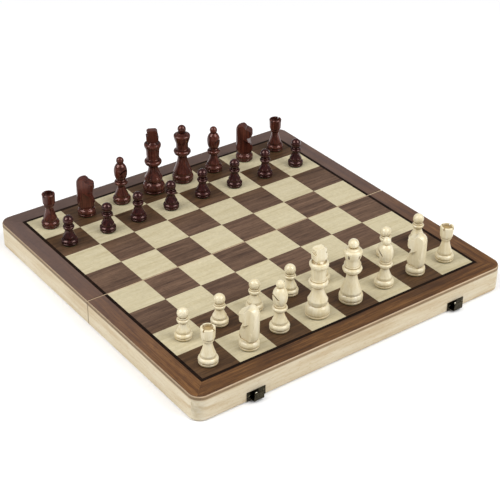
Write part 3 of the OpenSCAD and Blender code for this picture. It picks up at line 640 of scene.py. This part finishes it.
# the slot colours below are painted shade for the recess of each screw slot
slotShadeLook = {"dark": srgb(22, 18, 12), "light": srgb(60, 50, 34), "speckScale": 2400.0,
            "roughness": 0.8, "coat": 0.0, "coatRoughness": 0.3, "specular": 0.1,
            "bump": (0.3, 0.00005)}
# two screws in each hinge leaf; face is the height of their heads, inset the way from the seam
screws = {"hinge": 0.110, "spread": 0.0095, "inset": 0.0046, "face": 0.00175,
          "length": 0.0026, "width": 0.00045, "proud": 0.00004}


def screwSlotShades(half, side):
    # painted shade: a cross of two thin dark bars on each screw head stands in for the shaded slot
    shape = bmesh.new()
    for hinge in (-screws["hinge"], screws["hinge"]):
        for step in (-screws["spread"], screws["spread"]):
            middle = Vector((hinge + step, side * screws["inset"], screws["face"]))
            for long, wide in ((screws["length"], screws["width"]),
                               (screws["width"], screws["length"])):
                size = Matrix.Diagonal((long, wide, 2 * screws["proud"], 1.0))
                bmesh.ops.create_cube(shape, size=1.0, matrix=Matrix.Translation(middle) @ size)
    addPiece(half + "_screw_slot_shades", shape, paintedSlotShade, half + "_half")


paintedSlotShade = recessMaterial("paintedSlotShade", slotShadeLook)
for half, side in (("front", -1), ("back", 1)):
    screwSlotShades(half, side)

notchLook = dict(slotShadeLook, dark=srgb(70, 42, 20), light=srgb(128, 92, 54))
# angles in degrees; low and high are where the stain starts and ends round the notch's hub
notches = {"count": 5, "turn": 131.0, "height": 0.0813, "centre": 0.0103, "radius": 0.0026,
           "skin": 0.00018, "width": 0.00144, "low": -38.0, "high": 52.0, "steps": 10}
notchBrown = recessMaterial("notchBrown", notchLook)


def crownNotches(queen):
    # the dark stain on the floor of each notch: a thin section spun along it
    low, high = (Vector(corner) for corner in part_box(queen))
    middle = Vector((*low.lerp(high, 0.5).xy, notches["height"]))
    start = Matrix.Rotation(math.radians(notches["low"]), 4, "Y")
    outwards = Matrix.Translation((notches["skin"] / 2 - notches["radius"], 0.0, 0.0))
    size = Matrix.Diagonal((notches["skin"], notches["width"], 1.0, 1.0))
    shape = bmesh.new()
    for i in range(notches["count"]):
        turn = Matrix.Rotation(math.radians(notches["turn"] + 360 * i / notches["count"]), 4, "Z")
        hub = Matrix.Translation(middle) @ turn @ Matrix.Translation((notches["centre"], 0.0, 0.0))
        section = bmesh.ops.create_grid(shape, x_segments=1, y_segments=1, size=0.5,
                                        matrix=hub @ start @ outwards @ size)["verts"]
        bmesh.ops.spin(shape, geom=section + section[0].link_faces[:], cent=hub.translation,
                       axis=turn @ Vector((0.0, 1.0, 0.0)),
                       angle=math.radians(notches["high"] - notches["low"]),
                       steps=notches["steps"])
    addPiece(queen + "_notch_stain", shape, notchBrown, queen)


for queen in ("light_queen_e1", "dark_queen_e8"):
    crownNotches(queen)

# Studio

print("chess box: studio")
# place and directions were found from the corners of the squares in the photo
camera = {"place": (-0.6977, -0.9628, 0.7675), "lens": 95.72, "sensor": 36.0,
          "right": (0.80900652, -0.58777138, 0.0057661),
          "up": (0.30941718, 0.43418029, 0.8460192),
          "forward": (0.4997694, 0.68265092, -0.53312125), "clip": (0.05, 50.0)}
cameraData = bpy.data.cameras.new("camera")
cameraData.lens, cameraData.sensor_width = camera["lens"], camera["sensor"]
cameraData.clip_start, cameraData.clip_end = camera["clip"]
cameraObject = bpy.data.objects.new("camera", cameraData)
axes = (Vector(camera["right"]), Vector(camera["up"]), -Vector(camera["forward"]))
cameraObject.matrix_world = (Matrix.Translation(camera["place"])
                             @ Matrix(axes).transposed().to_4x4())
bpy.context.scene.collection.objects.link(cameraObject)
bpy.context.scene.camera = cameraObject

studio = {
    "floorSize": 12.0, "floorColour": srgb(252, 252, 252), "floorLight": srgb(253, 253, 253),
    "floorScale": 6.0, "floorRoughness": 0.9, "floorSpecular": 0.1,
    "sky": srgb(252, 252, 255), "skyPower": 0.3, "lampSize": 1.6, "lampPower": 46.0,
    "lamps": {"left": (-1.62, 0.4, 1.7), "right": (0.95, -1.4, 1.7)}}

floorMesh = bpy.data.meshes.new("floor")
shape = bmesh.new()
bmesh.ops.create_grid(shape, x_segments=1, y_segments=1, size=studio["floorSize"] / 2)
shape.to_mesh(floorMesh)
shape.free()
floor = bpy.data.objects.new("floor", floorMesh)
bpy.context.scene.collection.objects.link(floor)
floorMaterial, tree, shader, place = newMaterial("paleFloor")
mottle = noiseAt(tree, place, studio["floorScale"], detail=2.0)
base = blendColour(tree, mottle, studio["floorColour"], studio["floorLight"])
tree.links.new(base, shader.inputs["Base Color"])
shader.inputs["Roughness"].default_value = studio["floorRoughness"]
shader.inputs["Specular IOR Level"].default_value = studio["floorSpecular"]
floorMesh.materials.append(floorMaterial)

for name, place in studio["lamps"].items():
    lampData = bpy.data.lights.new(name, "AREA")
    lampData.shape, lampData.size = "SQUARE", studio["lampSize"]
    lampData.energy = studio["lampPower"]
    lamp = bpy.data.objects.new(name, lampData)
    lamp.location = place
    lamp.rotation_euler = (-Vector(place)).to_track_quat("-Z", "Y").to_euler()
    bpy.context.scene.collection.objects.link(lamp)

world = bpy.data.worlds.new("studio")
world.use_nodes = True
world.node_tree.nodes["Background"].inputs[0].default_value = studio["sky"]
world.node_tree.nodes["Background"].inputs[1].default_value = studio["skyPower"]
bpy.context.scene.world = world
bpy.context.scene.view_settings.view_transform = "Standard"

print("chess box: done")
